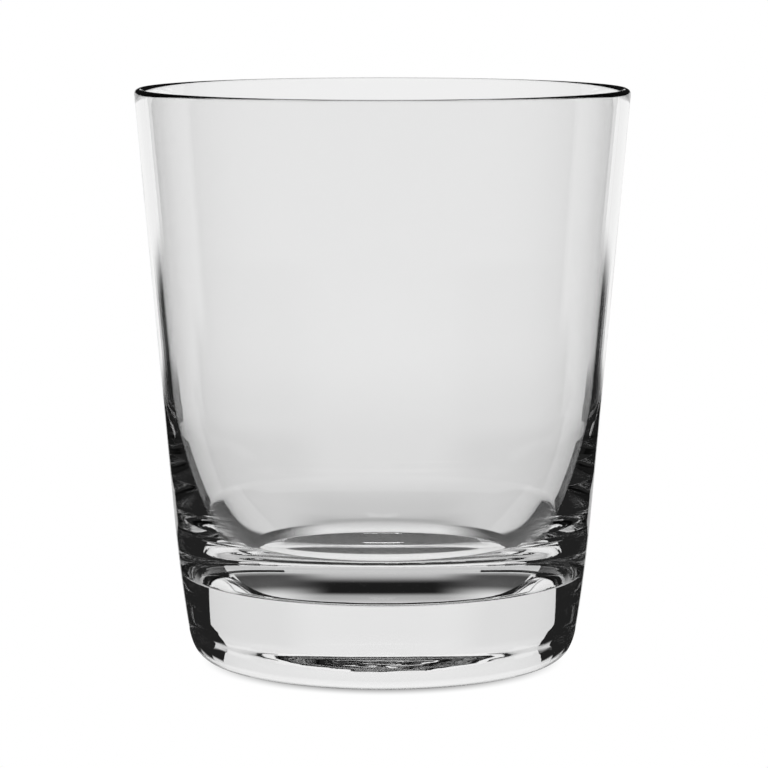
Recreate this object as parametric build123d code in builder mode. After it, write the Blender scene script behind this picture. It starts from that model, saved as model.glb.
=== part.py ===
"""Whiskey tumbler: one piece of hand-worked clear glass with a flared wall and a heavy solid base.

Millimetres, +Z up. The origin is the centre of the resting face, so the glass stands on Z = 0.
The tumbler is a solid of revolution about Z, so one half section on XZ holds the whole design.
"""

import os
from math import atan2, cos, degrees, radians

from build123d import *

# Overall: the rim is the widest place, and the wall runs straight from it towards foot_radius at Z = 0
height = 102.0
rim_radius = 43.95
foot_radius = 35.15

# Lip: a fire-polished half round between the two wall faces
lip_thickness = 1.7
lip_radius = lip_thickness / 2
lip_centre_height = height - lip_radius

# Outside, near the table: the wall tucks in a little and turns under in a soft heel
tuck = 1.2
tuck_height = 25.0
heel_height = 5.8
heel_inset = 4.95
round_handle = 0.7  # handle length, as a share of the leg: fuller than an ellipse's, which is 0.55

# Inside: a thin wall to the shoulder, then arcs that each go on from the one before. An arc is given
# by its radius and by the slope at its lower end, as an angle from the vertical.
shoulder_height = 48.4
shoulder_wall = 1.8
belly = (110.0, 17.6)
bend = (6.1, 38.5)
ramp = (60.0, 48.5)
floor_corner = (3.4, 82.1)


def straight_wall(z):
    """Radius of the outer wall at height z, before the tuck."""
    return foot_radius + (rim_radius - foot_radius) * z / lip_centre_height


# Heel: its top is on the tucked wall, and the two legs of its curve meet at heel_corner
drawn_in = 1 - heel_height / tuck_height
heel_radius = straight_wall(heel_height) - tuck * drawn_in**2
rest_radius = heel_radius - heel_inset
tuck_bend = (heel_height + tuck_height) / 2
wall_flare = (straight_wall(tuck_bend) - heel_radius) / (tuck_bend - heel_height)
heel_corner = heel_radius - wall_flare * heel_height

with BuildPart() as glass_body:
    with BuildSketch(Plane.XZ):
        with BuildLine():
            heel_top = (heel_radius, heel_height)
            heel_handle_low = (rest_radius + round_handle * (heel_corner - rest_radius), 0)
            heel_handle_high = (
                heel_corner + (1 - round_handle) * (heel_radius - heel_corner),
                heel_height * (1 - round_handle),
            )
            tuck_top = (straight_wall(tuck_height), tuck_height)
            lip_outer = (rim_radius, lip_centre_height)
            lip_top = (rim_radius - lip_radius, height)
            lip_inner = (rim_radius - lip_thickness, lip_centre_height)
            shoulder = (straight_wall(shoulder_height) - shoulder_wall, shoulder_height)

            # Underside, heel and outer wall
            Line((0, 0), (rest_radius, 0))
            Bezier((rest_radius, 0), heel_handle_low, heel_handle_high, heel_top)
            Bezier(heel_top, (straight_wall(tuck_bend), tuck_bend), tuck_top)
            Line(tuck_top, lip_outer)

            # Lip
            ThreePointArc(lip_outer, lip_top, lip_inner)

            # Inner wall and bowl, down to a floor that is level on the axis
            inside = Line(lip_inner, shoulder)
            slope = degrees(atan2(lip_inner[0] - shoulder[0], lip_centre_height - shoulder_height))
            for curve_radius, end_slope in (belly, bend, ramp, floor_corner):
                inside = JernArc(inside @ 1, inside % 1, curve_radius, slope - end_slope)
                slope = end_slope
            floor_curve = (inside @ 1).X / cos(radians(slope))
            floor = JernArc(inside @ 1, inside % 1, floor_curve, slope - 90)
            Line((0, (floor @ 1).Y), (0, 0))
        make_face()
    revolve(axis=Axis.Z)
    glass_body.part.label = "glass_body"

os.makedirs("parts", exist_ok=True)
export_step(glass_body.part, "parts/glass_body.step")
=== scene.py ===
"""Whiskey tumbler: the looks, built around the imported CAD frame.

The visible glass is one closed mesh turned about Z from the same design as the CAD solid, with the
slight unevenness of hand-worked glass. It stands on a pale floor in a bright-field studio: lit
cards behind and under the glass and dark surroundings, on a turntable rig that faces the camera.
"""

import math

import bpy
import numpy as np
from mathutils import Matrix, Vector


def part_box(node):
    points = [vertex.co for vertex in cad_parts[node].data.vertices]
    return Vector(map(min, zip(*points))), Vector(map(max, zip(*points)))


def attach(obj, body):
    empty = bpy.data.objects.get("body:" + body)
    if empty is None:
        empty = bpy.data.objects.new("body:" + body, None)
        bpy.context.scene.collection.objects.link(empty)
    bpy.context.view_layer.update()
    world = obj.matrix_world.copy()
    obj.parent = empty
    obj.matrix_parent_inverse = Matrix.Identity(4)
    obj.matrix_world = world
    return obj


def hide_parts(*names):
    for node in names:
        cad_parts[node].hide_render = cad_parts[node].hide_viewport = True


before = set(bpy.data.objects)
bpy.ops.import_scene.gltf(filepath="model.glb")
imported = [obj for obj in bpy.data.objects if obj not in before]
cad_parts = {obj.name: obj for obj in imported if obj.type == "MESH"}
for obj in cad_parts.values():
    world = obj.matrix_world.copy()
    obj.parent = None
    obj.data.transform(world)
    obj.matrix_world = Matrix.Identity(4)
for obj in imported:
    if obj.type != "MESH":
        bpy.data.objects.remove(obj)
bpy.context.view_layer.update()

MM = 0.001

# ---- Design of the glass, in millimetres ----
glass_lo, glass_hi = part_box("glass_body")
height = (glass_hi.z - glass_lo.z) / MM
rim_radius = min(glass_hi.x, glass_hi.y, -glass_lo.x, -glass_lo.y) / MM
foot_radius = 35.15  # the straight wall carried down to the table

lip_thickness = 1.7
lip_radius = lip_thickness / 2
lip_centre = height - lip_radius

tuck = 1.2  # how far the wall draws in below tuck_height
tuck_height = 25.0
heel_height = 5.8
heel_inset = 4.95
round_handle = 0.7  # handle length, as a share of the leg: fuller than an ellipse's, which is 0.55

# inside: a straight wall to the shoulder, then arcs that each go on from the one before, given by
# their radius and by the slope at the lower end, as an angle from the vertical
shoulder_height = 48.4
shoulder_wall = 1.8
bowl_arcs = [(110.0, 17.6), (6.1, 38.5), (60.0, 48.5), (3.4, 82.1)]

# how many points each stretch of the section is divided into, and the mesh all round
UNDERSIDE_STEPS = 16
HEEL_STEPS = 44
LOW_WALL_STEPS = 30
HIGH_WALL_STEPS = 43
LIP_STEPS = 21
INNER_WALL_STEPS = 31
ARC_STEPS = 24
FLOOR_STEPS = 30
SEGMENTS = 288

# ---- Unevenness of the surface, in millimetres ----
MARK_DEPTH = 0.006
MARK_PITCH = 1.25  # distance between marks on the heel
MARK_GROUP = 3.1  # distance over which the marks come and go
MARK_START = 0.4  # the marks reach full depth this high above the resting face
MARK_FADE = 3  # and fade out over this height, up to MARK_OVERLAP above the heel
MARK_OVERLAP = 1
WAVE_DEPTH = 0.006
WAVE_LOW = 8  # the waves fade in above this height and out below WAVE_HIGH
WAVE_HIGH = 95
WAVE_FADE = 10


def straight_wall(z):
    """Radius of the outer wall at height z, before the tuck."""
    return foot_radius + (rim_radius - foot_radius) * z / lip_centre


def wall_radius(z):
    """Outside of the wall: straight and flared, drawn in a little towards the heel."""
    return straight_wall(z) - tuck * np.clip(1 - z / tuck_height, 0, 1) ** 2


def heel():
    """The soft turn from the resting face up to the wall, as a cubic curve on two legs."""
    top = np.array([wall_radius(heel_height), heel_height])
    rest = np.array([top[0] - heel_inset, 0])
    bend = (heel_height + tuck_height) / 2
    flare = (straight_wall(bend) - top[0]) / (bend - heel_height)
    corner = np.array([top[0] - flare * heel_height, 0])
    low = rest + round_handle * (corner - rest)
    high = top + round_handle * (corner - top)
    share = np.linspace(0, 1, HEEL_STEPS)[:, None]
    curve = rest * (1 - share) ** 3
    curve = curve + 3 * low * share * (1 - share) ** 2
    curve = curve + 3 * high * share**2 * (1 - share)
    return curve + top * share**3


def turn(start, radius, slope_from, slope_to, steps):
    """An arc inside the glass that goes on from start and turns inwards between two slopes."""
    slope = np.linspace(slope_from, slope_to, steps)[1:]
    r = start[0] - radius * (math.cos(slope_from) - np.cos(slope))
    z = start[1] - radius * (np.sin(slope) - math.sin(slope_from))
    return np.stack([r, z], 1)


def section():
    """Half section of the glass, from the centre of the underside round to the bowl's floor."""
    heel_line = heel()
    underside = [(r, 0.0) for r in np.linspace(0, heel_line[0, 0], UNDERSIDE_STEPS)[:-1]]
    low_heights = np.linspace(heel_height, tuck_height, LOW_WALL_STEPS)[1:]
    high_heights = np.linspace(tuck_height, lip_centre, HIGH_WALL_STEPS)[1:-1]
    outer_wall = [(wall_radius(z), z) for z in np.concatenate([low_heights, high_heights])]
    lip = [
        (
            rim_radius - lip_radius + lip_radius * math.cos(angle),
            lip_centre + lip_radius * math.sin(angle),
        )
        for angle in np.linspace(0, math.pi, LIP_STEPS)
    ]
    wall_top = np.array(lip[-1])
    shoulder = np.array([straight_wall(shoulder_height) - shoulder_wall, shoulder_height])
    shares = np.linspace(0, 1, INNER_WALL_STEPS)[1:]
    inner_wall = [wall_top + (shoulder - wall_top) * share for share in shares]
    fall = wall_top - shoulder
    slope = math.atan2(fall[0], fall[1])
    bowl = [shoulder]
    for radius, end_angle in bowl_arcs:
        end_slope = math.radians(end_angle)
        bowl.extend(turn(bowl[-1], radius, slope, end_slope, ARC_STEPS))
        slope = end_slope
    floor_curve = bowl[-1][0] / math.cos(slope)
    bowl.extend(turn(bowl[-1], floor_curve, slope, math.pi / 2, FLOOR_STEPS))
    return np.vstack([underside, heel_line, outer_wall, lip, inner_wall, bowl[1:]])


def hand_worked(rings, angle):
    """How far each point lies inside the true surface, in mm.

    Fine grinding marks run round the heel, longer than they are wide. Slow waves from the mould
    cross the outer wall. The sums of sines only keep both from repeating evenly.
    """
    z = rings[:, 1:]
    outside = np.arange(len(rings))[:, None] < np.argmax(z)
    path = np.cumsum(np.hypot(*np.diff(rings, axis=0, prepend=rings[:1]).T))[:, None]

    fade_in = np.clip(z / MARK_START, 0, 1)
    fade_out = np.clip((heel_height + MARK_OVERLAP - z) / MARK_FADE, 0, 1)
    drift = 1.3 * np.sin(5 * angle + 0.7) + 0.9 * np.sin(13 * angle) + 0.7 * np.sin(29 * angle + 2)
    lines = np.sin(path * 2 * math.pi / MARK_PITCH + drift)
    groups = np.sin(path * 2 * math.pi / MARK_GROUP + 9 * angle)
    marks = MARK_DEPTH * fade_in * fade_out * (1 + lines * groups) / 2

    fade_in = np.clip((z - WAVE_LOW) / WAVE_FADE, 0, 1)
    fade_out = np.clip((WAVE_HIGH - z) / WAVE_FADE, 0, 1)
    slow = np.sin(z / 3.7 + 0.8 * np.sin(z / 11)) * np.sin(z / 9.1 + np.sin(2 * angle))
    waves = WAVE_DEPTH * fade_in * fade_out * (1 + slow) / 2
    return outside * (marks + waves)


def turned_mesh(name, points):
    """A closed mesh of revolution about Z whose first and last points are on the axis."""
    rings = np.array(points[1:-1])
    angle = np.arange(SEGMENTS) * (2 * math.pi / SEGMENTS)
    around = np.stack([np.cos(angle), np.sin(angle)], 1)
    verts = np.empty((len(rings), SEGMENTS, 3))
    radius = rings[:, :1] - hand_worked(rings, angle[None])
    verts[:, :, :2] = radius[:, :, None] * around[None]
    verts[:, :, 2] = rings[:, None, 1]
    verts = np.vstack([[[0, 0, points[0][1]]], verts.reshape(-1, 3), [[0, 0, points[-1][1]]]])
    last = len(verts) - 1
    top = last - SEGMENTS
    faces = []
    for i in range(SEGMENTS):
        j = (i + 1) % SEGMENTS
        faces.append((0, 1 + j, 1 + i))
        for ring in range(len(rings) - 1):
            a = 1 + ring * SEGMENTS
            b = a + SEGMENTS
            faces.append((a + i, a + j, b + j, b + i))
        faces.append((top + i, top + j, last))
    mesh = bpy.data.meshes.new(name)
    mesh.from_pydata((verts * MM).tolist(), [], faces)
    mesh.polygons.foreach_set("use_smooth", [True] * len(mesh.polygons))
    mesh.update()
    return mesh


def glass_material():
    """Clear colourless glass: polished, with faint uneven patches and long fine marks."""
    material = bpy.data.materials.new("clear_glass")
    material.use_nodes = True
    tree = material.node_tree
    shader = tree.nodes["Principled BSDF"]
    shader.inputs["Base Color"].default_value = (0.985, 0.985, 0.985, 1)
    shader.inputs["IOR"].default_value = 1.5
    shader.inputs["Transmission Weight"].default_value = 1.0

    place = tree.nodes.new("ShaderNodeTexCoord")
    stretch = tree.nodes.new("ShaderNodeMapping")
    stretch.inputs["Scale"].default_value = (1, 1, 7)
    tree.links.new(place.outputs["Object"], stretch.inputs["Vector"])

    patches = tree.nodes.new("ShaderNodeTexNoise")
    patches.inputs["Scale"].default_value = 60
    tree.links.new(stretch.outputs["Vector"], patches.inputs["Vector"])
    haze = tree.nodes.new("ShaderNodeMapRange")
    haze.inputs["From Min"].default_value = 0.45
    haze.inputs["From Max"].default_value = 0.8
    haze.inputs["To Min"].default_value = 0.0
    haze.inputs["To Max"].default_value = 0.02
    tree.links.new(patches.outputs["Fac"], haze.inputs["Value"])
    tree.links.new(haze.outputs["Result"], shader.inputs["Roughness"])

    marks = tree.nodes.new("ShaderNodeTexNoise")
    marks.inputs["Scale"].default_value = 220
    marks.inputs["Detail"].default_value = 4
    tree.links.new(stretch.outputs["Vector"], marks.inputs["Vector"])
    relief = tree.nodes.new("ShaderNodeBump")
    relief.inputs["Strength"].default_value = 0.03
    relief.inputs["Distance"].default_value = 0.02 * MM
    tree.links.new(marks.outputs["Fac"], relief.inputs["Height"])
    tree.links.new(relief.outputs["Normal"], shader.inputs["Normal"])
    return material


glass = bpy.data.objects.new("tumbler_glass", turned_mesh("tumbler_glass", section()))
bpy.context.collection.objects.link(glass)
glass.data.materials.append(glass_material())
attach(glass, "root")
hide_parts("glass_body")

# ---- Camera, in metres ----
scene = bpy.context.scene
scene.view_settings.view_transform = "Standard"

camera_data = bpy.data.cameras.new("camera")
camera = bpy.data.objects.new("camera", camera_data)
bpy.context.collection.objects.link(camera)
camera.location = (0, -0.6265, 0.13088)
aim = Vector((0, 0, 0.051))  # half the height of the glass
camera.rotation_euler = (aim - camera.location).to_track_quat("-Z", "Y").to_euler()
camera_data.sensor_width = 36
camera_data.lens = 165.42
camera_data.shift_x = 0.00195
camera_data.shift_y = -0.01367
scene.camera = camera

# ---- Studio, in millimetres ----
BOUNCES = 32  # light is reflected many times inside the thick base
BACK = 110  # distance of the lit backdrop behind the glass
TABLE = -0.4  # height of the cards on the table: those that cover others lie a little higher
FLOOR_HEIGHT = -0.6
FLOOR_HALF = 3000  # the floor reaches this far each way
SIDE_BLEND = [(11, 0), (24, 1)]  # where side_stops take over, measured from the middle
CURVE_STEPS = 60  # points along a round edge of a card
DARK_ROOM = 0.015  # strength of the surroundings as the glass sees them
WHITE_ROOM = 1.0  # and as the camera sees them

scene.cycles.max_bounces = BOUNCES
scene.cycles.transmission_bounces = BOUNCES
scene.cycles.glossy_bounces = BOUNCES

# the cards hang on an empty that turns about Z to face the camera, so their light isn't fixed in
# the room: without this constraint the views from other sides are dark or cut up by card edges
rig = bpy.data.objects.new("rig", None)
bpy.context.collection.objects.link(rig)
facing = rig.constraints.new("LOCKED_TRACK")
facing.target = camera
facing.track_axis = "TRACK_NEGATIVE_Y"
facing.lock_axis = "LOCK_Z"


def ramp(tree, distance, stops):
    """Strength along a distance: stops are (mm, strength) with soft steps between them."""
    strength = None
    for (start, low), (end, high) in zip(stops, stops[1:]):
        first = strength is None
        step = tree.nodes.new("ShaderNodeMapRange")
        step.interpolation_type = "SMOOTHSTEP"
        step.inputs["From Min"].default_value = start * MM
        step.inputs["From Max"].default_value = end * MM
        step.inputs["To Min"].default_value = low if first else 0
        step.inputs["To Max"].default_value = high if first else high - low
        tree.links.new(distance, step.inputs["Value"])
        if first:
            strength = step.outputs["Result"]
        else:
            total = tree.nodes.new("ShaderNodeMath")
            tree.links.new(strength, total.inputs[0])
            tree.links.new(step.outputs["Result"], total.inputs[1])
            strength = total.outputs[0]
    return strength


def light_material(name, axis, stops, side_stops=None):
    """Emission that changes along one axis of the object, or with "R" along the radius.

    One stop gives one even strength. With side_stops, the light follows stops near the Y axis and
    side_stops to the sides.
    """
    material = bpy.data.materials.new(name)
    material.use_nodes = True
    tree = material.node_tree
    tree.nodes.clear()
    emission = tree.nodes.new("ShaderNodeEmission")
    output = tree.nodes.new("ShaderNodeOutputMaterial")
    tree.links.new(emission.outputs["Emission"], output.inputs["Surface"])
    if len(stops) == 1:
        emission.inputs["Strength"].default_value = stops[0][1]
        return material

    place = tree.nodes.new("ShaderNodeTexCoord")
    split = tree.nodes.new("ShaderNodeSeparateXYZ")
    tree.links.new(place.outputs["Object"], split.inputs["Vector"])
    if axis == "R":
        measure = tree.nodes.new("ShaderNodeVectorMath")
        measure.operation = "LENGTH"
        tree.links.new(place.outputs["Object"], measure.inputs[0])
        distance = measure.outputs["Value"]
    else:
        measure = tree.nodes.new("ShaderNodeMath")
        measure.operation = "ABSOLUTE"
        tree.links.new(split.outputs[axis], measure.inputs[0])
        distance = measure.outputs[0]
    strength = ramp(tree, distance, stops)
    if side_stops:
        across = tree.nodes.new("ShaderNodeMath")
        across.operation = "ABSOLUTE"
        tree.links.new(split.outputs["X"], across.inputs[0])
        blend = tree.nodes.new("ShaderNodeMix")
        blend.data_type = "FLOAT"
        tree.links.new(ramp(tree, across.outputs[0], SIDE_BLEND), blend.inputs["Factor"])
        tree.links.new(strength, blend.inputs["A"])
        tree.links.new(ramp(tree, distance, side_stops), blend.inputs["B"])
        strength = blend.outputs["Result"]
    tree.links.new(strength, emission.inputs["Strength"])
    return material


def flat_object(name, corners, material):
    """One polygon with its material. Corners in mm."""
    mesh = bpy.data.meshes.new(name)
    mesh.from_pydata((np.array(corners) * MM).tolist(), [], [tuple(range(len(corners)))])
    mesh.materials.append(material)
    piece = bpy.data.objects.new(name, mesh)
    bpy.context.collection.objects.link(piece)
    return piece


def card(name, corners, axis, stops, side_stops=None):
    """A flat lit card on the rig, seen by the glass but not by the camera."""
    piece = flat_object(name, corners, light_material(name, axis, stops, side_stops))
    piece.parent = rig
    piece.visible_camera = False
    piece.visible_shadow = False


def mirrored(name, corners, axis, stops):
    """The same card on both sides of the rig. Corners are given for the right-hand side."""
    card(name + "_right", corners, axis, stops)
    card(name + "_left", [(-x, y, z) for x, y, z in corners], axis, stops)


def on_backdrop(outline):
    """Corners of a card at the backdrop's distance, from its (x, z) outline."""
    return [(x, BACK, z) for x, z in outline]


def sector(name, z, inner, outer, start, end, stops, side_stops=None):
    """Part of a flat ring about the glass's axis. Angles in degrees from the camera's side."""
    angles = np.radians(np.linspace(start, end, CURVE_STEPS))
    edge = [(outer * math.sin(a), -outer * math.cos(a), z) for a in angles]
    if inner:
        edge += [(inner * math.sin(a), -inner * math.cos(a), z) for a in angles[::-1]]
    card(name, edge, "R", stops, side_stops)


def oval(name, z, centre_y, half_width, half_depth, strength):
    """A flat oval card of one even strength."""
    angles = np.linspace(0, 2 * math.pi, CURVE_STEPS)[:-1]
    edge = [
        (half_width * math.cos(a), centre_y + half_depth * math.sin(a), z) for a in angles
    ]
    card(name, edge, "X", [(0, strength)])


# behind the glass: the main card, others above and beside it, and a row of lamps high up
back_edge = [(86, TABLE), (84, 7), (67, 13), (64, 22), (67, 36), (67, 60)]
card(
    "back_card",
    on_backdrop(back_edge + [(-x, z) for x, z in back_edge[::-1]]),
    "Z",
    [(0, 0.85), (12, 0.87), (45, 0.95)],
    [(0, 0.79), (9, 0.8), (22, 0.87), (45, 0.93)],
)
card(
    "back_top",
    on_backdrop([(-150, 60), (150, 60), (150, 106), (-150, 106)]),
    "X",
    [(20, 0.95), (70, 0.92), (110, 0.86)],
)
card(
    "back_lamps",
    on_backdrop([(-50, 186), (50, 186), (50, 214), (-50, 214)]),
    "Z",
    [(186, 0.05), (191, 0.5), (196, 0.9), (200, 0.1), (206, 0.5), (214, 0.05)],
)
mirrored(
    "back_wing",
    on_backdrop([(67, 30), (88, 30), (92, 60), (67, 60)]),
    "Z",
    [(30, 0.05), (38, 0.88), (60, 0.92)],
)
mirrored(
    "back_far",
    on_backdrop([(92, 44), (150, 44), (150, 60), (92, 60)]),
    "Z",
    [(44, 0.02), (60, 0.86)],
)

# above the glass: a small lamp that glints in the bowl's floor
LAMP_HEIGHT = 150
lamp_outline = [(-16, 3), (16, 3), (10, 9), (-10, 9)]
card("top_light", [(x, y, LAMP_HEIGHT) for x, y in lamp_outline], "X", [(0, 1.4)])

# on the table behind the glass, and in a narrow ring round its foot
# the strip is dimmer from 38 to 52 mm out from the glass's axis: a painted shadow of the foot on
# the table
card(
    "table_strip",
    [(-40, 22, TABLE), (40, 22, TABLE), (66, BACK, TABLE), (-66, BACK, TABLE)],
    "R",
    [(33, 0.88), (38, 0.52), (44, 0.5), (52, 0.68), (80, 0.83), (105, 0.85)],
    [(37.5, 0.02), (39.5, 0.76), (105, 0.79)],
)
sector("table_ring", TABLE + 0.02, 31, 34.5, -90, 90, [(0, 0.6)])
# thin near-black arcs on each side, just past the resting edge: a painted shadow where the glass
# meets the table
for side in (-1, 1):
    sector("painted_foot_shadow", TABLE + 0.05, 31.3, 31.95, 48 * side, 90 * side, [(0, 0.02)])

# under the glass: a pale disc, and dark shapes made so that the base shows an oval, a line and a
# streaky strip
sector("under_light", TABLE + 0.05, 0, 31, 0, 360, [(0, 0.88)])
sector(
    "under_front",
    TABLE + 0.1,
    20.9,
    31,
    -85,
    85,
    [(21, 0.6), (23.2, 0.42), (24.8, 0.012), (27.7, 0.012), (31, 0.55)],
    [(21, 0.85), (23.5, 0.85), (27, 0.1), (30, 0.08), (31, 0.3)],
)
oval("under_oval", TABLE + 0.14, 14.5, 20.5, 6.0, 0.02)
streak_outer = [(0, -20.6), (8, -19.2), (16.2, -14.2), (20.5, -10.5)]
streak_outer += [(23.6, -7), (27, -3.8), (30.5, -1)]
streak_inner = [(30.5, 2), (26.5, -1.2), (22, -4), (18, -6.8)]
streak_inner += [(13.5, -9.5), (7.5, -12.5), (0, -14)]
streak = [(x, y, TABLE + 0.15) for x, y in streak_outer + streak_inner]
mirrored("under_streak", streak, "X", [(0, 0.015)])

# the pale floor that the camera sees: a painted shadow, a radial gradient in its emission, darkens
# it softly round the foot
floor_corners = [(-1, -1), (1, -1), (1, 1), (-1, 1)]
floor = flat_object(
    "floor",
    [(x * FLOOR_HALF, y * FLOOR_HALF, FLOOR_HEIGHT) for x, y in floor_corners],
    light_material("floor", "R", [(26, 0.3), (33, 1.0)]),
)
floor.visible_transmission = False
floor.visible_glossy = False
floor.visible_diffuse = False
floor.visible_shadow = False

# the room: white to the camera and nearly black to the glass, which doesn't see the floor either
world = bpy.data.worlds.new("studio")
scene.world = world
world.use_nodes = True
world_tree = world.node_tree
background = world_tree.nodes["Background"]
background.inputs["Color"].default_value = (1, 1, 1, 1)
seen_by = world_tree.nodes.new("ShaderNodeLightPath")
room = world_tree.nodes.new("ShaderNodeMix")
room.data_type = "FLOAT"
room.inputs["A"].default_value = DARK_ROOM
room.inputs["B"].default_value = WHITE_ROOM
world_tree.links.new(seen_by.outputs["Is Camera Ray"], room.inputs["Factor"])
world_tree.links.new(room.outputs["Result"], background.inputs["Strength"])
